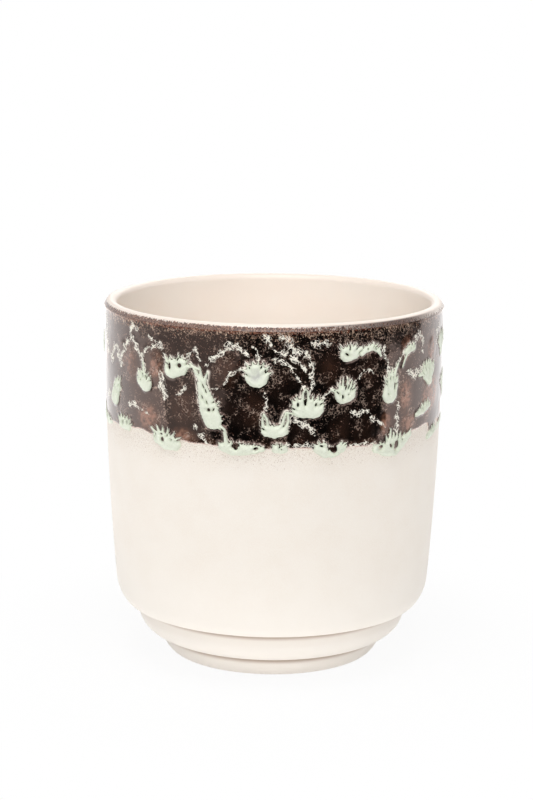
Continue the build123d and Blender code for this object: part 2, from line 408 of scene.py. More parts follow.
drawn_drops = {
    "wall_drop_01": drawn(
        (-1.2, -3.8, 3.8, 1, 1.8, 3), (2.2, 1, 1, 5.6, 7.4), (0.8, 2, 0.9, 2.2, 7),
        (-0.8, 1.5, 0.8, -1.2, 5.4), (2.6, -0.6, 0.8, 6, 2.4),
        holes=[(-0.5, 0.6, 0.35, 1.1, 0), (1.8, -0.6, 0.3, 0.8, -20)]),
    "wall_drop_02": drawn(
        (-1.2, -2.2, 3.4, 1.4, -4, 3.5), (-3, -1, 1, -3.9, 2.2),
        (0, 0.5, 0.9, -0.2, 3.2, 0.45, -1, 7.2, 0.25), (-1.4, 0.4, 0.6, -1.8, 2.2),
        (1.6, -0.4, 0.8, 2.8, 1.2, 0.15), (3.4, -1.6, 0.7, 4.4, 0),
        holes=[(-0.5, -0.3, 0.42, 0.9, 0), (2, -1.3, 0.5, 0.9, -15), (-1.9, -2.4, 0.3, 0.45, 0)]),
    "wall_drop_03": drawn(
        (-2.2, -1.2, 4, 2.4, 0.2, 3.8), (-4.6, 1.4, 1, -5.8, 4.8), (-3, 2.4, 0.7, -3.4, 4.6),
        (-1.4, 2.6, 0.6, -1.2, 4.4), (0.6, 2.8, 0.8, 2, 6.2), (2.6, 3, 0.7, 3.6, 5.4),
        (4.4, 2, 0.8, 6.6, 4.4), (4.6, 0.8, 1.1, 8.4, 1.2, 0.7, 12.4, 0.2, 0.5),
        holes=[(-3.4, 0.2, 0.75, 1.5, 0), (1.9, 1, 1.1, 1, 20), (1, 3.6, 0.35, 0.8, -25)]),
    "wall_drop_04": drawn(
        (-3.4, 8, 1.6, -2, 3.4, 2.6, 0.3, -4.5, 4.2, 2.4, -9.2, 4.2),
        (-3.2, 7, 1.1, -5.8, 12.4, 0.8, -8.6, 15.2, 0.5), (-2.6, 7, 1.1, -3.6, 12, 0.7, -4, 16),
        (-2, 6, 1.1, -0.6, 11, 0.7, 0.4, 13.4), (-4.4, 9.5, 0.6, -7.4, 12.6, 0.2),
        (2.2, -4.4, 0.9, 5.4, -0.4), (3.2, -5, 0.8, 5.8, -2.8, 0.15),
        (4.6, -7.8, 0.8, 7.6, -6.6, 0.15), (5.2, -9.6, 0.8, 7.6, -9, 0.15),
        (5.4, -11.2, 0.9, 7.8, -13, 0.6, 8.7, -16.4, 0.7), (4.8, -12.2, 0.8, 6.6, -13.6),
        holes=[(0.5, -4.7, 0.75, 0.75, 0), (-2.6, 0.8, 0.25, 1, 20), (-0.9, 3.6, 0.25, 1.1, 20),
               (-0.4, -1.4, 0.22, 0.8, 20), (-2.2, 5.8, 0.25, 1.2, 22), (2.8, -4.4, 0.3, 0.8, -30)]),
    "wall_drop_05": drawn(
        (-0.1, 0, 5, 0.3, -0.1, 5), (-4.2, 1.8, 0.9, -6.6, 3.2), (-3.2, 3.4, 0.9, -4.8, 5.8),
        (-1.4, 4.2, 0.9, -2, 6.8), (0.6, 4.4, 0.9, 0.8, 7), (2.4, 4, 0.9, 3.6, 6.6),
        (3.8, 2.8, 0.9, 6, 5), (4.4, 0.8, 0.9, 7, 2),
        holes=[(3.9, 2.6, 0.25, 0.7, -30), (-3, 3.5, 0.22, 0.6, 25)], hollow=0.55, shift=(0.7, 0.1)),
    "wall_drop_06": drawn(
        (-3.4, -2.6, 2.5, 0, -3.4, 2.5, 3.5, -2.4, 2.5),
        (-5, -1.2, 1, -5.5, 2.6, 0.6, -5.2, 6.5, 0.15),
        (-2.8, -1.2, 0.9, -3.4, 2.6, 0.6, -4.8, 5, 0.5), (5, -1, 1, 5.9, 2, 0.7, 5.7, 5.4, 0.6),
        (3, -0.8, 0.9, 3.8, 2.4, 0.7, 4.8, 5.6, 0.5), (5.4, 5.6, 0.6, 7.2, 5.4, 0.45, 9, 4.4, 0.4),
        (-1.4, -1.4, 0.6, -1.2, 0.6), (1, -1.4, 0.5, 1.2, 0.2),
        shift=(-0.9, 0.4)),
    "wall_drop_07": drawn(
        (-3, 0, 4.1, 2.8, -0.3, 4.2), (-6, 1.6, 1, -7.3, 4.6), (-5, 2.8, 0.8, -5, 5.8),
        (-2.4, 3.2, 0.8, -2.3, 7, 0.5, -1.2, 8.8, 0.4, -0.1, 7.4, 0.45, 0.2, 3.4, 0.7),
        (1.8, 3.2, 0.6, 2, 6), (4.2, 2.8, 0.8, 4.8, 5.8, 0.15), (5.6, 2.4, 0.6, 6.2, 4.6),
        (6, 1.6, 0.9, 7.2, 4.2, 0.15), (6.2, 0.2, 0.7, 7.6, 1.8), (-6.2, 0.4, 0.6, -7.6, 1.6),
        holes=[(-4.5, 1.8, 0.45, 0.95, 0), (-1.3, 2.6, 0.55, 1.4, 5), (3.5, 1.6, 0.42, 0.75, -10)]),
    "wall_drop_08": drawn(
        (-1.3, -0.9, 3.8, 1.2, -0.4, 3.6), (-3.6, 0.8, 1, -6.4, 1.9, 0.7),
        (-6, 1.9, 0.4, -7.4, 1.2, 0.2), (-2.8, 2, 0.8, -3, 5.6), (-1.4, 2.6, 0.7, -1.5, 7.4, 0.2),
        (0.6, 2.6, 0.7, 1.2, 7.8, 0.2), (2.2, 2.4, 0.8, 3.4, 6.2), (3.6, 1.6, 0.8, 4.6, 4.6),
        (4.2, 0.2, 0.6, 5.2, 2),
        holes=[(-1.3, -1.5, 0.42, 0.95, 5), (1.4, -0.5, 0.22, 0.22, 0), (-5.2, 1.6, 0.3, 0.3, 0),
               (0, 2.4, 0.3, 0.9, 0), (2.6, 1.8, 0.3, 0.8, -20)]),
    "wall_drop_09": drawn(
        (-1.2, 0, 3.2, 1.7, 0.6, 3), (-3.2, 1.6, 0.9, -4.8, 4.6), (-2, 2.4, 0.7, -2.2, 4.2),
        (-0.7, 2.6, 0.7, -0.6, 5), (0.9, 3, 0.7, 1.2, 5), (2.6, 2.8, 0.7, 3.4, 4.6),
        (3.4, 1.4, 1.1, 5.8, 2.4, 1),
        holes=[(-1.2, 0.2, 0.4, 1, 55), (0.2, 2.4, 0.3, 0.6, 0)]),
    "wall_drop_10": drawn(
        (-5.4, -1.2, 1.1, -2.8, 0.4, 1.3, 1, 1, 1.2, 4, -0.8, 0.9, 5.2, -3, 0.5),
        (-3.4, 0.8, 0.6, -3.8, 2.8), (-1.6, 1.2, 0.6, -1.4, 3), (0.6, 1.6, 0.6, 0.8, 3.4),
        (2.4, 1, 0.6, 3.2, 2.8), (4, 0, 0.5, 5.2, 1.4),
        holes=[(-2, 0.7, 0.3, 0.4, 0), (2.4, 0.2, 0.3, 0.35, 0)], shift=(-1.8, -1.2)),
    "wall_drop_11": drawn(
        (-0.6, -4.2, 4.1, 0.6, 0.4, 3.5, 0.6, 3, 2.2), (-2.6, 1.4, 0.9, -3.6, 4.6),
        (-1.2, 3.6, 0.8, -1.4, 6.8), (0.5, 4.2, 0.8, 0.6, 7.6),
        (1.8, 3.4, 0.8, 2.8, 6.6, 0.6, 4.4, 9.6, 0.3), (3.2, 1.6, 0.8, 4.2, 4.2),
        holes=[(2.3, -0.6, 0.45, 1.8, 0), (-1.5, -3.8, 0.3, 0.35, 0), (-0.4, 3.2, 0.3, 1, 0),
               (1.4, 3.4, 0.25, 0.8, -10)], shift=(-0.6, 0)),
    "wall_drop_12": drawn(
        (-1.6, -0.2, 1.4, 1, 0.7, 1.6, 3.8, 1, 1.3),
        (-0.8, -0.6, 0.6, -2.8, -4.2, 0.35, -4.6, -8.2, 0.25), (-0.4, 1.4, 0.6, -0.8, 3),
        (1.4, 2, 0.6, 1.6, 3.4), (3.2, 2, 0.6, 4.4, 3.6, 0.2),
        holes=[(1.2, 0.8, 0.3, 0.5, 0)]),
    "wall_drop_13": drawn(
        (1.4, -2.8, 2.6, -0.8, 0.8, 3.8, 2.6, 1.2, 3.4), (-3.4, 2.4, 0.9, -4.6, 6.2),
        (-1.6, 3.6, 0.9, -1.8, 7), (0.4, 3.8, 0.9, 0.8, 7.2), (2.2, 3, 0.9, 3.2, 6.8),
        (3.4, 1.4, 0.8, 5, 4.4), (-3.6, 0.8, 1.4, -8, 0.4, 0.8), (-3.8, 2, 0.8, -6.8, 3.8),
        (4.8, 2.4, 0.9, 7.4, 5.4), (5.4, 0.8, 0.8, 8.4, 2.6),
        holes=[(-1.8, 2, 0.3, 1.2, 0), (0.8, 1.8, 0.3, 1.3, -10), (-4, 0.6, 0.4, 0.4, 0)]),
    "wall_drop_14": drawn(
        (-6.2, -2.8, 0.9, -0.6, -1.6, 1.7, 5.4, 0.3, 1.3), (-3, -1.8, 0.7, -3, 0.2, 0.2),
        (-1, -0.6, 0.8, -0.6, 1.8), (1, 0, 0.7, 2, 2.6, 0.2), (3.2, 0.6, 0.7, 4.8, 3, 0.2),
        holes=[(0.2, 0.2, 0.3, 0.7, -20), (-2.4, -1.2, 0.3, 0.3, 0)], shift=(-1.8, 0.4)),
    "hem_drop_01": drawn(
        (-2, 0.4, 2.6, 2.6, 0.3, 2.6), (-3.8, 1.2, 0.9, -7, 3.8), (-2.6, 1.8, 0.8, -3.8, 5.2),
        (-0.8, 1.6, 0.8, -0.8, 4.8), (1.4, 1.4, 0.8, 2.4, 5.2), (3.2, 1.2, 0.8, 5.4, 4.2),
        (4, 0.2, 0.8, 7.2, 2),
        holes=[(-1.6, 1, 0.85, 1.2, 0), (2.4, 1.7, 0.75, 0.9, 0)]),
    "hem_drop_02": drawn(
        (-4.6, -0.4, 3.1, 0, -1.6, 3.8, 5, -2.2, 3), (-5.8, 1.4, 1, -9.4, 4.6),
        (-4, 2, 0.9, -5.2, 5.8), (-1.6, 1.8, 0.9, -1.8, 5.4), (0.8, 1.6, 0.9, 1.6, 5.2),
        (3.4, 0.8, 0.9, 5.4, 3.8), (5.8, 0, 0.9, 9, 1.8),
        holes=[(-1.9, -0.7, 0.95, 1.15, 0), (-2.5, 1.7, 0.75, 0.4, 0), (3.2, -0.2, 0.35, 0.35, 0)]),
    "hem_drop_03": drawn(
        (-7.4, 0.6, 1.9, -3.5, -0.2, 2.8, 2, -0.4, 2.4, 7.2, 0, 1.8, 10.6, 0.4, 1.1),
        (-5.6, 1.6, 1.5, -6.1, 4.5, 0.9, -6.6, 7.4, 0.6), (-8.4, 1.6, 0.7, -9.6, 3),
        (-3.4, 2, 0.7, -3.4, 4.4), (-0.2, 1.4, 0.6, 0.2, 3.6), (1.8, 1.4, 0.6, 2.4, 3.2),
        (3.8, 1, 0.6, 4.4, 3.2), (6, 1, 0.6, 6.8, 3), (8.4, 1, 0.5, 9.6, 2.4),
        holes=[(-1.7, 1.5, 1.6, 1.2, 10), (-1.4, 0.8, 1, 1.2, 0), (7.6, 0.6, 1, 0.7, 10)]),
    "hem_drop_04": drawn(
        (-1.7, -0.2, 1.8, 1.8, -0.3, 1.8), (-2.6, 0.8, 0.5, -3.4, 2.4), (-1.2, 1, 0.5, -1.4, 2.8),
        (0.4, 1, 0.5, 0.6, 2.6), (2, 0.8, 0.5, 2.8, 2.2),
        holes=[(0.8, -0.2, 0.25, 0.25, 0)]),
    "hem_drop_05": drawn(
        (-5, 0.6, 2.2, -1.6, -1.2, 2.4, 2.4, -1.2, 2.4, 6.2, 0.8, 2.1), (-4, 1.6, 1.7, -2, 2.2, 1.3),
        (-6.2, 1.8, 0.6, -7.6, 3.4), (-4.6, 2.8, 0.6, -5, 4.4), (-2.6, 3, 0.5, -2.6, 4.6),
        (5.4, 2.2, 0.6, 5.6, 3.8), (7.2, 1.8, 0.6, 8.4, 3.2),
        holes=[(1.6, 1.2, 1.7, 3.1, 32), (-3.6, 2, 0.8, 0.4, -15)]),
    "hem_drop_06": drawn(
        (-9.4, -0.6, 1.9, -3, -2, 3.1, 2, -2, 3.5, 7.2, 0.4, 2.5, 12.2, 3, 1.4),
        (-2, 1, 2.4, 3, 1.5, 2.3), (-3.2, 2.4, 0.9, -4, 5), (-1.6, 3, 0.9, -1.2, 6.8, 0.4, -1, 8.6),
        (0.6, 3.2, 0.8, 0.8, 6.4), (2.8, 3.2, 0.7, 3, 5, 0.2), (4.6, 2.6, 0.8, 5.4, 5.4),
        (7.4, 2.2, 0.8, 8.2, 4.8), (11.4, 3.6, 0.7, 13, 5.4, 0.2), (-10, 0.8, 0.7, -11.4, 2.2),
        (-6.8, 0.8, 0.7, -7.4, 2.8),
        holes=[(-6.9, -0.2, 1.3, 0.9, 20), (-0.8, -0.3, 0.65, 1.1, 40), (2.7, -0.6, 1.4, 2.3, -15),
               (3.6, 2.6, 0.35, 1, 0), (6.6, 1.6, 0.5, 0.4, 0)]),
    "hem_drop_07": drawn(
        (-4.8, -1.8, 1.3, -0.8, -0.8, 1.9, 3.4, 0.6, 1.5), (-3.2, -0.4, 0.6, -3.2, 1.8),
        (-0.8, 0.8, 0.7, -0.4, 3, 0.2), (1.6, 1.2, 0.6, 2.6, 3.6, 0.2),
        holes=[(0.6, -0.2, 0.35, 0.35, 0)]),
}
print("drops drawn from the photograph:", len(drawn_drops))


# %% Outline of a drop
def strand_distance(across, up, strand):
    """Distance of flat points outside a tapered strand, negative inside."""
    least = np.full(across.shape, np.inf)
    for (x0, z0, half0), (x1, z1, half1) in zip(strand, strand[1:]):
        run, climb = x1 - x0, z1 - z0
        share = np.clip(((across - x0) * run + (up - z0) * climb) / (run**2 + climb**2), 0, 1)
        apart = np.hypot(across - x0 - share * run, up - z0 - share * climb)
        least = np.minimum(least, apart - half0 - share * (half1 - half0))
    return least


def outline_distance(across, up, form):
    """Distance outside a drop's outline: strands melted together, less the holes."""
    melt = 0.3
    whole = strand_distance(across, up, form["strands"][0])
    whole = whole + 0.09 * np.sin(1.7 * across + 1.1 * up) + 0.06 * np.sin(3.1 * up - 2.3 * across)
    for strand in form["strands"][1:]:
        other = strand_distance(across, up, strand)
        blend = np.clip(0.5 + 0.5 * (whole - other) / melt, 0, 1)
        whole = whole * (1 - blend) + other * blend - melt * blend * (1 - blend)
    for hole_x, hole_z, half_x, half_z, tilt in form["holes"]:
        lean = math.radians(tilt)
        x = (across - hole_x) * math.cos(lean) + (up - hole_z) * math.sin(lean)
        z = (up - hole_z) * math.cos(lean) - (across - hole_x) * math.sin(lean)
        whole = np.maximum(whole, (1 - np.hypot(x / half_x, z / half_z)) * min(half_x, half_z))
    return whole


def frayed(form, pick):
    """Adds the torn upper edge to a drop: fine fingers, with slits between some of them."""
    finger_share = 0.82
    thinnest_arm = 0.3
    finger_thinning = 0.86
    usual_fray = 0.55
    root_depth = 0.35
    tip_half = 0.08
    slit_chance = 0.3
    shift_x, shift_z = form.get("shift", (0, 0))
    moved = [[(x + shift_x, z + shift_z, half) for x, z, half in strand] for strand in form["strands"]]
    body, *others = moved
    strands = [body]
    for strand in others:
        root_x, root_z, _ = strand[0]
        share = finger_share if strand[-1][2] < thinnest_arm else 1.0
        strands.append([(root_x + (x - root_x) * share, root_z + (z - root_z) * share,
                         half * finger_thinning) for x, z, half in strand])
    holes = [(x + shift_x, z + shift_z, *rest) for x, z, *rest in form["holes"]]
    solid = dict(strands=[body], holes=[])
    across, up, halves = np.array(body).T
    middle_x = np.average(across, weights=halves)
    middle_z = np.average(up, weights=halves)
    reach = np.arange(0.2, 24, 0.1)
    angle, last_angle = -8.0, 188
    while angle < last_angle:
        ray_x, ray_z = math.cos(math.radians(angle)), math.sin(math.radians(angle))
        inside = outline_distance(middle_x + reach * ray_x, middle_z + reach * ray_z, solid) < 0
        edge = reach[inside].max() if inside.any() else 1.0
        lean = math.radians(90 + (angle - 90) * 0.75)
        lift = 0.45 + 0.55 * max(ray_z, 0)
        finger = form.get("fray", usual_fray) * lift * pick.uniform(0.3, 1.5) + root_depth
        root_x = middle_x + (edge - root_depth) * ray_x
        root_z = middle_z + (edge - root_depth) * ray_z
        tip = (root_x + finger * math.cos(lean), root_z + finger * math.sin(lean), tip_half)
        strands.append([(root_x, root_z, pick.uniform(0.3, 0.55)), tip])
        step = math.degrees(pick.uniform(0.9, 1.6) / edge)
        if pick.uniform() < slit_chance and ray_z > 0.1:
            slit_angle = math.radians(angle + step / 2)
            slit = edge - pick.uniform(0.2, 0.8)
            slit_x = middle_x + slit * math.cos(slit_angle)
            slit_z = middle_z + slit * math.sin(slit_angle)
            holes.append((slit_x, slit_z, pick.uniform(0.2, 0.32), pick.uniform(0.5, 1.0),
                          math.degrees(lean) - 90))
        angle += step
    return dict(form, strands=strands, holes=holes, middle=(middle_x, middle_z))


# %% Place of each drop, and drops on the hidden side
def drop_place(node):
    """Middle turn and height of a drop's CAD solid, and its half width and half height in mm."""
    places = mesh_points(nodes[node].data)
    low, high = places[:, 2].min(), places[:, 2].max()
    first = turn_of(places[:1])[0]
    spread = degrees_between(turn_of(places), first)
    middle_turn = first + (spread.min() + spread.max()) / 2
    half_width = np.radians(spread.max() - spread.min()) / 2 * wall_round / MM
    return middle_turn, (low + high) / 2, half_width, (high - low) / 2 / MM


drop_nodes = sorted(node for node in nodes if "_drop_" in node)
hem_nodes = [node for node in drop_nodes if node.startswith("hem")]
drop_places = {node: drop_place(node) for node in drop_nodes}
one_offs = ("wall_drop_04", "wall_drop_05", "wall_drop_06", "wall_drop_12")


def borrowed_drop(node, pick):
    """A drop for the hidden side: a drawn one, mirrored or not, at its own CAD solid's size."""
    _, _, half_width, half_height = drop_places[node]

    def misfit(other):
        _, _, other_width, other_height = drop_places[other]
        return abs(math.log(half_width / other_width)) + abs(math.log(half_height / other_height))

    same_kind = [other for other in drawn_drops if other[:3] == node[:3] and other not in one_offs]
    chosen = sorted(same_kind, key=misfit)[pick.integers(4)]
    form = drawn_drops[chosen]
    side = pick.choice((-1, 1))
    wide = half_width / drop_places[chosen][2]
    tall = half_height / drop_places[chosen][3]
    thick = math.sqrt(wide * tall)
    strands = [[(x * wide * side, z * tall, half * thick) for x, z, half in strand]
               for strand in form["strands"]]
    holes = [(x * wide * side, z * tall, half_x * wide, half_z * tall, tilt * side)
             for x, z, half_x, half_z, tilt in form["holes"]]
    return dict(strands=strands, holes=holes, fray=pick.uniform(0.5, 0.9))


drop_pick = np.random.default_rng(5)
drop_forms = {}
for node in drop_nodes:
    form = drawn_drops.get(node) or borrowed_drop(node, drop_pick)
    drop_forms[node] = frayed(form, drop_pick)
print("drops:", len(drop_forms), "strands:", sum(len(form["strands"]) for form in drop_forms.values()))

# %% [markdown]
# ## The dark band
#
# The band is a coat of even thickness with hummocks on it, so it is spun like the other coats, but
# from a finely divided wire: the relief moves its points outwards and the wavering hem moves its
# lowest rows. Every point keeps a few numbers for the finish: how strong the lace is there, how far
# it lies along and across a vein, how far above the hem it is, how thin and brown the coat is, how
# wide the bare gap to the next drop is, and how near it is to a drop's torn edge, from which fine
# hairs of the pale glaze fan out.

# %% Hem and hairs
hem_run = [
    (-180, 116.8), (-120, 116.4), (-84, 117.4), (-70, 116.4), (-62, 116.4), (-50, 118.2), (-40, 117.4),
    (-28, 116.4), (-18, 116.1), (0, 116.0), (8, 116.0), (18, 115.4), (28, 114.9), (34, 115.3),
    (45, 116.8), (57, 118.2), (68, 118.4), (90, 117.0), (130, 116.2), (180, 116.8),
]


def hem_height(turn):
    """Height of the dark band's wavering lower edge, which sags under the drops that hang from it."""
    sag_share = 0.45
    wave = np.interp(degrees_between(turn, 0), *zip(*hem_run))
    ripple = 0.2 * np.sin(np.radians(19 * turn + 10)) + 0.2 * np.sin(np.radians(43 * turn))
    hem = (wave + ripple) * MM
    for node in hem_nodes:
        middle_turn, middle_height, half_width, half_height = drop_places[node]
        covered = np.clip(1.2 - 1.6 * (along_wall(turn, middle_turn) / half_width) ** 2, 0, 1)
        sagged = middle_height - sag_share * half_height * MM
        hem = hem + np.minimum(sagged - hem, 0) * covered
    return hem


def hair_fields(turn, height):
    """Nearness to a torn edge, 0 to 1, the way round and out from its drop, and the bare gap in mm."""
    far_off = 9.0
    search_beside, search_above = 12, 14
    hem_reach, wall_reach = 0.3, 0.6
    touching = 0.05
    way_to_next = 60.0
    way_per_radian = 6.0
    near, way_round = np.zeros((2, len(turn)))
    way_out, gap = np.full((2, len(turn)), far_off)
    for number, node in enumerate(drop_nodes):
        middle_turn, middle_height, half_width, half_height = drop_places[node]
        across = along_wall(turn, middle_turn)
        up = (height - middle_height) / MM
        close = np.flatnonzero((np.abs(across) < half_width + search_beside)
                               & (np.abs(up) < half_height + search_above))
        outside = outline_distance(across[close], up[close], dict(drop_forms[node], holes=[]))
        gap[close] = np.minimum(gap[close], outside)
        angle = np.arctan2(up[close] + 0.4 * half_height, across[close])
        upward = np.clip(0.35 + 0.75 * np.sin(angle), 0, 1)
        reach = 0.2 + (hem_reach if node in hem_nodes else wall_reach) * upward
        here = np.exp(-np.maximum(outside, 0) / reach) * np.clip(upward * 1.6, 0, 1)
        here = np.where(outside < touching, 0, here)
        nearer = here > near[close]
        chosen = close[nearer]
        near[chosen] = here[nearer]
        way_round[chosen] = way_to_next * number + way_per_radian * angle[nearer]
        way_out[chosen] = outside[nearer]
    return near, way_round, way_out, gap


print("hem heights in mm:", np.round(hem_height(np.arange(-180, 180, 45)) / MM, 1).tolist())

# %% Dark band
band_steps = 836
ring_step = 0.62 * MM
outer_slack = 0.2 * MM
hem_pull = 14 * MM
hem_round = 1.3 * MM
hem_thinning = 0.42 * MM
lace_rise = 0.05 * MM

bm = half_section("band_glaze")
outer_edges = []
for edge in bm.edges:
    past_wall = [math.hypot(v.co.x, v.co.y) - wall_radius(v.co.z) for v in edge.verts]
    if min(past_wall) > -outer_slack:
        outer_edges.append(edge)
for edge in outer_edges:
    cuts = max(int(edge.calc_length() / ring_step) - 1, 0)
    bmesh.ops.subdivide_edges(bm, edges=[edge], cuts=cuts)
spin_round(bm, band_steps)
dark_band = new_piece("dark_band", bm, "dark_gloss_glaze", "band_glaze")

places = mesh_points(dark_band.data)
turn = turn_of(places)
radius = np.hypot(places[:, 0], places[:, 1])
height = places[:, 2]
on_outside = radius - wall_radius(height) > -outer_slack
hem = hem_height(turn)
height = height + (hem - band_low) * np.clip(1 - (height - band_low) / hem_pull, 0, 1)
above_hem = height - hem
lace, lace_along, lace_across = lace_fields(turn, height)
hair, hair_round, hair_out, gap = hair_fields(turn, height)
round_off = np.clip(1 - above_hem / hem_round, 0, 1)
thinned = hem_thinning * (1 - np.sqrt(1 - round_off**2))
past_coat = relief(turn, height) + lace_rise * lace - thinned
wall_change = wall_radius(height) - wall_radius(places[:, 2])
radius = radius + wall_change + np.where(on_outside, past_coat, 0)
dark_band.data.vertices.foreach_set("co", turned_places(turn, radius, height).ravel())
keep_numbers(dark_band.data, lace=lace, lace_along=lace_along, lace_across=lace_across,
             above_hem=above_hem / MM, hair=hair, hair_round=hair_round, hair_out=hair_out,
             gap=gap, thin=hummock_fields(turn, height)[1])
dark_band.data.update()
print("dark band:", len(dark_band.data.polygons), "faces")

# %% [markdown]
# ## From a flat drawing to a drop
#
# Each drawn drop is cut from a fine grid. The faces outside its outline go, the ragged rim is drawn
# onto the outline, and a back makes it solid. Then the front is swollen into a dome, fullest at the
# bottom where the glaze sagged, and the whole is wrapped on the wall with its back just under the
# glaze that it lies on. Drops that the photograph shows edge-on, at the sides, are kept flatter.

# %% Trim, back and wrap each drop
def base_radius(turn, height):
    """Radius of the glaze that a drop lies on: the dark band, or the cream wall below the hem."""
    hem_blend = 1.2 * MM
    on_band = wall_radius(height) + relief(turn, height)
    on_cream = wall_radius(height) - coat_step
    share = np.clip((height - hem_height(turn)) / hem_blend, 0, 1)
    return on_cream + (on_band - on_cream) * share


def trimmed_grid(form):
    """A flat grid cut to a drop's outline, in millimetres."""
    cell = 0.25
    margin = 0.4
    probe = 0.02
    least_slope = 0.3
    points = np.array([point for strand in form["strands"] for point in strand])
    low = (points[:, :2] - points[:, 2:]).min(axis=0) - margin
    high = (points[:, :2] + points[:, 2:]).max(axis=0) + margin
    count = np.ceil((high - low) / cell).astype(int)
    bm = bmesh.new()
    bmesh.ops.create_grid(bm, x_segments=count[0], y_segments=count[1], size=0.5)
    bmesh.ops.scale(bm, vec=(*(count * cell), 1), verts=bm.verts)
    bmesh.ops.translate(bm, vec=(*((low + high) / 2), 0), verts=bm.verts)
    x, z = np.array([vert.co[:2] for vert in bm.verts]).T
    outside = outline_distance(x, z, form)
    bm.verts.index_update()
    beyond = [face for face in bm.faces if sum(outside[vert.index] for vert in face.verts) > 0]
    bmesh.ops.delete(bm, geom=beyond, context="FACES")
    rim = [vert for vert in bm.verts if vert.is_boundary]
    for _ in range(2):
        x, z = np.array([vert.co[:2] for vert in rim]).T
        here = outline_distance(x, z, form)
        slope_x = (outline_distance(x + probe, z, form) - here) / probe
        slope_z = (outline_distance(x, z + probe, form) - here) / probe
        steep = np.maximum(slope_x**2 + slope_z**2, least_slope)
        for vert, shift_x, shift_z in zip(rim, here * slope_x / steep, here * slope_z / steep):
            vert.co.x -= min(max(shift_x, -cell), cell)
            vert.co.y -= min(max(shift_z, -cell), cell)
    bmesh.ops.smooth_vert(bm, verts=rim, factor=0.3, use_axis_x=True, use_axis_y=True, use_axis_z=False)
    return bm


def drop_piece(node, slot):
    """Makes one drop from its form and wraps it on the wall over its CAD solid."""
    dome = 1.3
    dome_loss_at_side = 1.1
    side_turn = 87
    crown_reach = 2.0
    back_depth = 0.35
    pool_width, pool_height = 2.8, 2.5
    form = drop_forms[node]
    hollow = form.get("hollow", 0)
    middle_x, middle_z = form["middle"]
    middle_turn, middle_height, _, half_height = drop_places[node]
    bm = trimmed_grid(form)
    bmesh.ops.solidify(bm, geom=list(bm.faces), thickness=1.0)
    x, z, level = np.array([vert.co[:] for vert in bm.verts]).T
    is_top = level > (np.percentile(level, 10) + np.percentile(level, 90)) / 2
    inward = np.maximum(-outline_distance(x, z, form), 0)
    crown = np.sqrt(1 - (1 - np.clip(inward / crown_reach, 0, 1)) ** 2)
    heavy = 1.1 - 0.2 * np.clip((z + half_height) / (2 * half_height), 0, 1.2)
    at_side = np.clip(1.7 - abs(abs(degrees_between(middle_turn, 0)) - side_turn) / 14, 0, 1)
    from_pool = ((x - middle_x) / pool_width) ** 2 + ((z - middle_z) / pool_height) ** 2
    sunk = np.exp(-from_pool) * (hollow > 0)
    swell = (dome - dome_loss_at_side * at_side) * crown * heavy - hollow * sunk
    turn = middle_turn + np.degrees(x * MM / wall_round)
    height = middle_height + z * MM
    radius = base_radius(turn, height) + np.where(is_top, swell, -back_depth) * MM
    for vert, place in zip(bm.verts, turned_places(turn, radius, height)):
        vert.co = place
    bmesh.ops.recalc_face_normals(bm, faces=bm.faces)
    piece = new_piece(node.replace("drop", "glaze_drop"), bm, slot, node)
    keep_numbers(piece.data, inward=inward, sunk=sunk)
    return piece


drops = [drop_piece(node, "pale_drop_glaze") for node in drop_nodes]
print("drops:", len(drops), "with", sum(len(drop.data.polygons) for drop in drops), "faces")

# %% [markdown]
# ## Finishes
#
# Every finish is drawn by nodes from Object coordinates, in millimetres, so that nothing stretches
# on the round wall. A small class wraps a node's output: sums on it add Math nodes, and its methods
# add the other nodes that the finishes use.

# %% A small language for shader nodes
def sum_node(operation, turned=False):
    """A method that adds one Math node, with its two terms turned round or not."""
    def method(self, other):
        terms = (other, self) if turned else (self, other)
        return self.node("ShaderNodeMath", {"operation": operation}, dict(enumerate(terms)))
    return method


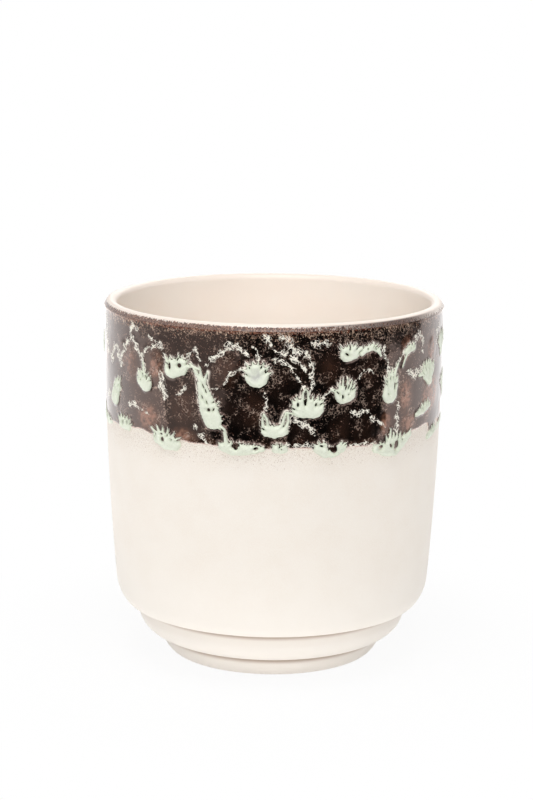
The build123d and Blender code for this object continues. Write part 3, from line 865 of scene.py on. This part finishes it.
class Signal:
    """One output in a material's node tree. Sums of signals and numbers become Math nodes."""
    __add__ = sum_node("ADD")
    __sub__ = sum_node("SUBTRACT")
    __mul__ = sum_node("MULTIPLY")
    __radd__ = sum_node("ADD", True)
    __rsub__ = sum_node("SUBTRACT", True)
    __rmul__ = sum_node("MULTIPLY", True)
    most = sum_node("MAXIMUM")

    def __init__(self, tree, socket=None):
        self.tree = tree
        self.socket = socket

    def node(self, kind, settings=None, values=None, output=0):
        """Adds a node: first its settings, then its sockets' values or links. Gives one output."""
        made = self.tree.nodes.new(kind)
        for name, value in (settings or {}).items():
            setattr(made, name, value)
        for name, value in (values or {}).items():
            if isinstance(value, Signal):
                self.tree.links.new(value.socket, made.inputs[name])
            else:
                made.inputs[name].default_value = value
        return Signal(self.tree, made.outputs[output])

    def vector(self, operation, *values, output=0):
        """A sum on whole vectors."""
        settings = {"operation": operation}
        return self.node("ShaderNodeVectorMath", settings, dict(enumerate(values)), output)

    def part(self, axis):
        """This vector's X, Y or Z."""
        return self.node("ShaderNodeSeparateXYZ", None, {"Vector": self}, axis)

    def between(self, low, high):
        """0 below low, 1 above high, smooth between; falls where low is the larger."""
        values = {"Value": self, "From Min": low, "From Max": high}
        return self.node("ShaderNodeMapRange", {"interpolation_type": "SMOOTHSTEP"}, values)

    def mix(self, colour, other):
        """A colour where this signal is 0 and another where it is 1."""
        return self.node("ShaderNodeMix", {"data_type": "RGBA"}, {0: self, 6: colour, 7: other}, 2)

    def noise(self, size, detail=2.0, output=0):
        """Cloudy noise on this vector, with features about so many millimetres across."""
        values = {"Vector": self, "Scale": 1 / size, "Detail": detail}
        return self.node("ShaderNodeTexNoise", None, values, output)

    def cells(self, size, feature="F1", output="Distance"):
        """Voronoi cells on this vector, about so many millimetres across."""
        values = {"Vector": self, "Scale": 1 / size}
        return self.node("ShaderNodeTexVoronoi", {"feature": feature}, values, output)

    def net(self, size, low, high):
        """The seams between such cells."""
        return self.cells(size, "DISTANCE_TO_EDGE").between(low, high)

    def pick(self, size, channel="Red"):
        """One random number for each of the same cells."""
        colour = self.cells(size, output="Color")
        return self.node("ShaderNodeSeparateColor", None, {"Color": colour}, channel)

    def kept(self, name):
        """A number kept on the mesh's points."""
        return self.node("ShaderNodeAttribute", {"attribute_name": name}, None, "Fac")

    def bump(self, strength, distance, over=None):
        """A surface normal raised by this signal, over another normal where one is given."""
        values = {"Height": self, "Strength": strength, "Distance": distance}
        if over is not None:
            values["Normal"] = over
        return self.node("ShaderNodeBump", None, values)


def paint(red, green, blue):
    """A colour read off a screen, 0 to 255, as the light that Blender works with."""
    light = []
    for share in (red / 255, green / 255, blue / 255):
        light.append(share / 12.92 if share < 0.04045 else ((share + 0.055) / 1.055) ** 2.4)
    return (*light, 1.0)


def new_finish(name):
    """A material with its shader, and its Object coordinates in millimetres."""
    material = bpy.data.materials.new(name)
    material.use_nodes = True
    start = Signal(material.node_tree)
    spot = start.node("ShaderNodeTexCoord", output="Object")
    spot = spot.node("ShaderNodeVectorMath", {"operation": "SCALE"}, {"Vector": spot, "Scale": 1 / MM})
    return material, material.node_tree.nodes["Principled BSDF"], spot


def feed(shader, **sockets):
    """Feeds a shader's sockets by name: a signal is linked and a plain value is set."""
    for name, value in sockets.items():
        socket = shader.inputs[name.replace("_", " ")]
        if isinstance(value, Signal):
            value.tree.links.new(value.socket, socket)
        else:
            socket.default_value = value


def wear(material, *pieces):
    """Gives pieces a finish as their only material."""
    for piece in pieces:
        piece.data.materials.clear()
        piece.data.materials.append(material)
    print(material.name, "has", len(material.node_tree.nodes), "nodes; worn by", len(pieces), "pieces")


# %% [markdown]
# ## Cream finishes
#
# The lower wall is a matt cream with a faint grain. Drops of the dark spray drifted below the band,
# so brown specks crowd under the hem and thin out within a couple of centimetres. The liner is the
# same cream with a satin gloss, and the bare clay of the foot shows as a thin brownish line.

# %% Matt cream wall
matt_cream, shader, spot = new_finish("matt_cream_paint")
height = spot.part("Z")
hem_level = band_low / MM
grain = spot.noise(0.5, 3.0)
cloud = spot.noise(14.0)
cream = cloud.between(0.3, 0.7).mix(paint(245, 237, 227), paint(243, 234, 223))
cream = (grain.between(0.3, 0.75) * 0.5).mix(cream, paint(249, 243, 235))
# Towards the foot the cream is painted lighter: painted light, making up for the shade that the
# overhanging tiers cast on the lower wall.
cream = (height.between(70.0, 12.0) * 0.9).mix(cream, paint(254, 248, 240))
drift = height.between(hem_level - 17, hem_level + 1)
fleck_size = 0.62
fleck_chance = (spot.pick(fleck_size) - (1 - drift * drift * 0.8)).between(0.0, 0.06)
fleck = spot.cells(fleck_size).between(0.4, 0.16) * fleck_chance
cream = (fleck * 0.7).mix(cream, paint(164, 138, 120))
dust = spot.noise(0.45).between(0.4, 0.65) * drift * 0.55
cream = dust.mix(cream, paint(214, 198, 180))
# Under each ledge the wall is painted darker and browner: partly glaze pooled in the corner, partly
# painted shade under the overhang.
for ledge, depth in ledges:
    shadowed = ledge - 0.2 * depth
    pooled_glaze_and_shade = height.between(shadowed - 3.0, shadowed - 0.3) * height.between(ledge + 0.15, ledge)
    cream = (pooled_glaze_and_shade * 0.9).mix(cream, paint(178, 152, 132))
foot_line = height.between(1.4, 0.8) * 0.85
cream = foot_line.mix(cream, paint(160, 114, 92))
feed(shader, Base_Color=cream, Roughness=0.62 - grain * 0.1, Specular_IOR_Level=0.35,
     Normal=grain.bump(0.12, 0.00025))
wear(matt_cream, cream_wall)

# %% Satin liner with a speckled lip
satin_cream, shader, spot = new_finish("satin_cream_paint")
lip_out = np.hypot(*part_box("liner_glaze")[1].xy) / math.sqrt(2) / MM
lip_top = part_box("liner_glaze")[1].z / MM
level_spot = spot.vector("MULTIPLY", spot, (1, 1, 0))
radius = spot.vector("LENGTH", level_spot, output="Value")
cloud = spot.noise(20.0)
cream = cloud.between(0.3, 0.7).mix(paint(255, 247, 238), paint(255, 245, 235))
on_lip = spot.part("Z").between(lip_top - 3.0, lip_top)
cream = on_lip.mix(cream, paint(243, 229, 217))
worn = spot.part("X").between(55.0, -10.0)
spill = radius.between(lip_out - 1.5, lip_out)
grit = spot.noise(0.9, 3.0) - 0.5
rust = (spill * (0.7 + worn * 0.75) + grit * 2.2 - 0.7).between(0.0, 0.25)
crumbs = spot.noise(0.6).between(0.44, 0.64)
cream = (rust * 0.9).mix(cream, crumbs.mix(paint(70, 32, 24), paint(172, 130, 108)))
at_front = spot.part("Y").between(-20.0, -55.0)
dark_rim = radius.between(lip_out - 1.3, lip_out - 0.6) * (1 - worn * 0.8) * at_front
cream = (dark_rim * 0.95).mix(cream, crumbs.mix(paint(48, 28, 22), paint(112, 78, 64)))
feed(shader, Base_Color=cream, Roughness=0.3 + cloud * 0.1 - rust * 0.2, Specular_IOR_Level=0.45)
print("lip radius", round(float(lip_out), 1), "mm")
wear(satin_cream, satin_liner)

# %% Bare clay
raw_clay, shader, spot = new_finish("raw_clay_paint")
sand = spot.noise(0.4, 4.0)
clay = sand.between(0.35, 0.7).mix(paint(196, 156, 132), paint(214, 178, 156))
feed(shader, Base_Color=clay, Roughness=0.85 - sand * 0.1, Normal=sand.bump(0.3, 0.0003))
wear(raw_clay, nodes["clay_body"])

# %% [markdown]
# ## Dark gloss glaze with lace
#
# The dark coat is an iron glaze: nearly black, brown where it is thin, and very glossy. Its lace is
# a net of pale threads round tiny round cells. Voronoi cells, stretched along the vein, give the
# net, and the strength kept on the band's points says where it shows. Hairs fan out from the drops
# in the same way. Specks of brown and pink are scattered over the rest, and at the lip the coat
# breaks up into rust.

# %% Dark coat and its specks
dark_gloss, shader, spot = new_finish("dark_gloss_paint")
height = spot.part("Z")
lip_level = band_high / MM
above_hem = spot.kept("above_hem")
cloud = spot.noise(9.0, 3.0)
wander = spot.noise(1.25, 1.0, "Color")
shifted = spot.vector("MULTIPLY_ADD", wander, (1.2, 1.2, 1.2), spot)
iron = cloud.between(0.4, 0.75).mix(paint(12, 9, 8), paint(32, 22, 18))
thin_coat = (above_hem.between(11.0, 0.5) + spot.noise(6.0) * 1.6 - 1.5).between(0.0, 0.5)
iron = (thin_coat * 0.5).mix(iron, paint(76, 50, 37))
thin_hummock = spot.kept("thin") * (0.4 + spot.noise(2.5, 3.0).between(0.3, 0.7) * 0.6)
iron = (thin_hummock * 0.85).mix(iron, paint(94, 64, 50))
iron = thin_hummock.between(0.5, 1.2).mix(iron, paint(138, 100, 82))

patchy = spot.noise(5.0, 3.0).between(0.44, 0.62)
sprayed = height.between(lip_level - 22, lip_level - 4) * 0.14
glaze = iron
for size, share in ((0.5, 0.32), (0.85, 0.22)):
    speck_chance = (shifted.pick(size) - (0.97 - patchy * share - sprayed)).between(0.0, 0.08)
    speck = shifted.cells(size).between(0.45, 0.2) * speck_chance
    speck_paint = shifted.pick(size, "Green").mix(paint(86, 54, 42), paint(176, 150, 136))
    glaze = (speck * 0.8).mix(glaze, speck_paint)
print("dark coat:", len(dark_gloss.node_tree.nodes), "nodes")

# %% Lace and hairs
lace = spot.kept("lace")
ragged = spot.noise(1.4, 3.0)
vein_values = {0: spot.kept("lace_along") * 0.6, 1: spot.kept("lace_across")}
vein_spot = spot.node("ShaderNodeCombineXYZ", None, vein_values)
vein_spot = spot.vector("MULTIPLY_ADD", wander, (1, 1, 0), vein_spot)
net = vein_spot.net(1.35, 0.15, 0.05).most(shifted.net(0.9, 0.13, 0.04) * 0.8)
faint = shifted.net(1.3, 0.12, 0.01) * spot.noise(6.0).between(0.5, 0.6)
glaze = (faint * ragged.between(0.42, 0.6) * 0.85).mix(glaze, paint(172, 150, 136))
uneven = (ragged - 0.5) * 1.3 + (spot.noise(0.8) - 0.5) * 1.0 + spot.noise(3.5, 1.0) - 0.5
amount = lace * 0.75 + uneven * lace.between(0.0, 0.6)
threads = (net + amount - 1.22).between(0.0, 0.2)
hair = spot.kept("hair")
hair_values = {0: spot.kept("hair_round"), 1: spot.kept("hair_out") * 0.3}
hair_net = spot.node("ShaderNodeCombineXYZ", None, hair_values).net(1.0, 0.20, 0.05)
hairs = (hair_net + hair * (0.45 + ragged * 0.8) - 1.06).between(0.0, 0.3)
pale = threads.most(hairs)
pale_paint = lace.most(hair).between(0.1, 0.7).mix(paint(156, 142, 132), paint(240, 238, 225))
glaze = pale.mix(glaze, pale_paint)
print("with lace and hairs:", len(dark_gloss.node_tree.nodes), "nodes")

# %% Rust at the lip and a ragged hem
lip_near = height.between(lip_level - 9, lip_level + 0.5)
lip_edge = height.between(lip_level - 2.2, lip_level - 0.2)
grit = spot.noise(0.9, 3.0) - 0.5
worn = spot.part("X").between(55.0, 0.0)
rust = (lip_edge * (0.35 + worn * 0.4) + grit * 2.2 - 0.4).between(0.0, 0.3)
rust_paint = spot.noise(0.6).between(0.44, 0.64).mix(paint(72, 28, 21), paint(148, 98, 78))
glaze = (rust * 0.85).mix(glaze, rust_paint)
crumb_size = 0.45
crumb = shifted.pick(crumb_size, "Blue")
crumb = (lip_near * 0.6 + patchy * 0.25 + crumb + worn * 0.1 - 1.33).between(0.0, 0.2)
crumb_paint = shifted.pick(crumb_size, "Green").mix(paint(104, 70, 56), paint(206, 180, 158))
glaze = (crumb * 0.9).mix(glaze, crumb_paint)
bare_lip = height.between(lip_level - 1.2, lip_level - 0.4) * spot.part("Y").between(-38.0, -12.0)
glaze = (bare_lip * 0.85).mix(glaze, paint(208, 192, 181))
torn = (above_hem.between(1.8, -0.2) + spot.noise(0.7, 3.0) - 1.12).between(0.0, 0.12)
torn_paint = spot.noise(2.0).between(0.4, 0.6).mix(paint(238, 224, 214), paint(206, 180, 168))
glaze = torn.mix(glaze, torn_paint)
gap = spot.kept("gap")
# Next to the drops the coat is painted darker: partly the bare gap where the glaze drew back, partly
# painted shade round the raised drops.
glaze = (gap.between(0.9, 0.1) * (1 - pale) * 0.6).mix(glaze, paint(20, 13, 11))
raised = (pale * 0.6 + spot.noise(3.0, 1.0) * 0.25).bump(0.3, 0.0003)
feed(shader, Base_Color=glaze, Roughness=0.07 + pale * 0.35 + rust * 0.08 + torn * 0.4, IOR=1.7,
     Specular_Tint=(1.0, 0.70, 0.60, 1.0), Normal=gap.between(1.4, -0.3).bump(0.7, 0.0006, raised))
wear(dark_gloss, dark_band)

# %% [markdown]
# ## Pale drop glaze
#
# The drops are a minty white, satin rather than glossy. They are a shade greener where they thin out
# to the rim, and pinholes from the firing show as grey dots.

# %% Pale drop glaze
pale_drop, shader, spot = new_finish("pale_drop_paint")
cloud = spot.noise(4.0)
mint = cloud.between(0.3, 0.7).mix(paint(226, 231, 213), paint(219, 224, 205))
mint = (spot.kept("inward").between(0.5, 0.0) * 0.6).mix(mint, paint(208, 216, 194))
mint = (spot.noise(0.7).between(0.35, 0.7) * 0.35).mix(mint, paint(240, 244, 230))
pit_size = 0.8
pit = spot.cells(pit_size).between(0.3, 0.12) * spot.pick(pit_size).between(0.8, 0.88)
mint = (pit * 0.6).mix(mint, paint(150, 156, 140))
# Where a drop is sunk into a hollow it is painted grey: painted shade in the hollow.
hollow_shade = spot.kept("sunk") * (0.4 + spot.noise(2.5).between(0.3, 0.6) * 0.6)
mint = hollow_shade.mix(mint, paint(190, 190, 184))
skin = spot.noise(1.2, 3.0) * 0.6 - pit
feed(shader, Base_Color=mint, Roughness=0.36 + cloud * 0.15, Specular_IOR_Level=0.45,
     Normal=skin.bump(0.35, 0.0003))
wear(pale_drop, *drops)

# %% [markdown]
# ## Floor and light
#
# The pot stands on a white table near its front edge. The lit table to its left and right shows as
# long grey reflections down both sides of the dark band, and the dark room past the edge keeps the
# middle of the band black. Three lamps lie on the table, face up, for its glow: one at each side and
# a faint one under the pot. Three more hang in front, above and behind. Dark cards, which only
# reflections see, stand for the room. Near the pot the floor keeps a soft shadow, and farther off it
# turns into plain white.

# %% Flat stage pieces
def stage_sheet(name, low, high, level):
    """A flat rectangle of the stage between two corners."""
    bm = bmesh.new()
    bmesh.ops.create_grid(bm, x_segments=1, y_segments=1, size=0.5)
    bmesh.ops.scale(bm, vec=(high[0] - low[0], high[1] - low[1], 1), verts=bm.verts)
    bmesh.ops.translate(bm, vec=((low[0] + high[0]) / 2, (low[1] + high[1]) / 2, level), verts=bm.verts)
    sheet = mesh_object(name, bm)
    return sheet


def seen_in_reflections_only(sheet):
    """Hides a sheet from all but mirrors."""
    sheet.visible_camera = False
    sheet.visible_diffuse = False
    sheet.visible_shadow = False
    sheet.visible_transmission = False


def plain_view(start):
    """1 for the rays that look: those of the camera, of mirrors and of glass."""
    view = start.node("ShaderNodeLightPath", output="Is Camera Ray")
    for kind in ("Is Glossy Ray", "Is Transmission Ray"):
        view = view.most(start.node("ShaderNodeLightPath", output=kind))
    return view


def end_in_blend(output, share, first, second):
    """Ends a node tree in a blend of two shaders."""
    blended = share.node("ShaderNodeMixShader", None, {0: share, 1: first, 2: second})
    share.tree.links.new(blended.socket, share.tree.nodes[output].inputs["Surface"])


def card_finish(name, level):
    """A card of one grey that sends out that grey and nothing else."""
    material = bpy.data.materials.new(name)
    material.use_nodes = True
    feed(material.node_tree.nodes["Principled BSDF"], Base_Color=(0, 0, 0, 1), Roughness=1.0,
         Specular_IOR_Level=0.0, Emission_Color=(level, level, level, 1), Emission_Strength=1.0)
    return material


# %% Floor and cards
floor = stage_sheet("floor", (-4, -4), (4, 4), 0)
white_floor, shader, spot = new_finish("white_floor")
feed(shader, Base_Color=paint(244, 244, 244), Roughness=0.9, Specular_IOR_Level=0.1)
from_pot = spot.vector("LENGTH", spot, output="Value")
shadow_share = 0.07
plain_share = plain_view(spot) * (1 - shadow_share + from_pot.between(80, 180) * shadow_share)
lit = Signal(white_floor.node_tree, shader.outputs["BSDF"])
glow = spot.node("ShaderNodeEmission", None, {"Color": (1, 1, 1, 1), "Strength": 1.0})
end_in_blend("Material Output", plain_share, lit, glow)
wear(white_floor, floor)

table_edge = -0.17
room_card = stage_sheet("room_card", (-1.6, -1.5), (1.6, table_edge), 0.004)
side_card = stage_sheet("side_card", (0.95, table_edge), (1.6, 0.4), 0.004)
grey_card = stage_sheet("grey_card", (-1.3, -1.0), (-0.32, table_edge), 0.006)
wear(card_finish("black_card", 0.0), room_card, side_card)
wear(card_finish("grey_card", 0.75), grey_card)
for card in (room_card, side_card, grey_card):
    seen_in_reflections_only(card)


# %% Lamps and room
def soft_box(name, place, target, width, tall, power):
    """A rectangular lamp at a place, turned to a target."""
    lamp = new_object(name, bpy.data.lights.new(name, "AREA"))
    lamp.data.shape = "RECTANGLE"
    lamp.data.size = width
    lamp.data.size_y = tall
    lamp.data.energy = power
    lamp.location = place
    lamp.rotation_euler = (Vector(target) - Vector(place)).to_track_quat("-Z", "Y").to_euler()
    lamp.visible_camera = False


soft_box("left_table", (-0.55, 0.515, 0.008), (-0.55, 0.515, 1), 0.8, 1.37, 3.1)
soft_box("right_table", (0.555, 0.515, 0.008), (0.555, 0.515, 1), 0.79, 1.37, 2.5)
soft_box("table_glow", (0, 0, 0.0003), (0, 0, 1), 0.5, 0.5, 0.15)
soft_box("back_box", (0.2, 1.5, 0.9), (0, 0, 0.1), 1.2, 0.8, 4.5)
soft_box("front_box", (-0.08, -1.5, 0.7), (0, 0, 0.1), 1.2, 0.8, 8.6)
soft_box("top_box", (-0.1, -0.4, 1.5), (0, 0, 0.15), 0.9, 0.9, 14.5)

world = bpy.data.worlds.new("white_room")
bpy.context.scene.world = world
world.use_nodes = True
start = Signal(world.node_tree)
fill = start.node("ShaderNodeBackground", None, {"Color": (1, 1, 1, 1), "Strength": 0.2})
white = start.node("ShaderNodeBackground", None, {"Color": (1, 1, 1, 1), "Strength": 1.0})
end_in_blend("World Output", plain_view(start), fill, white)
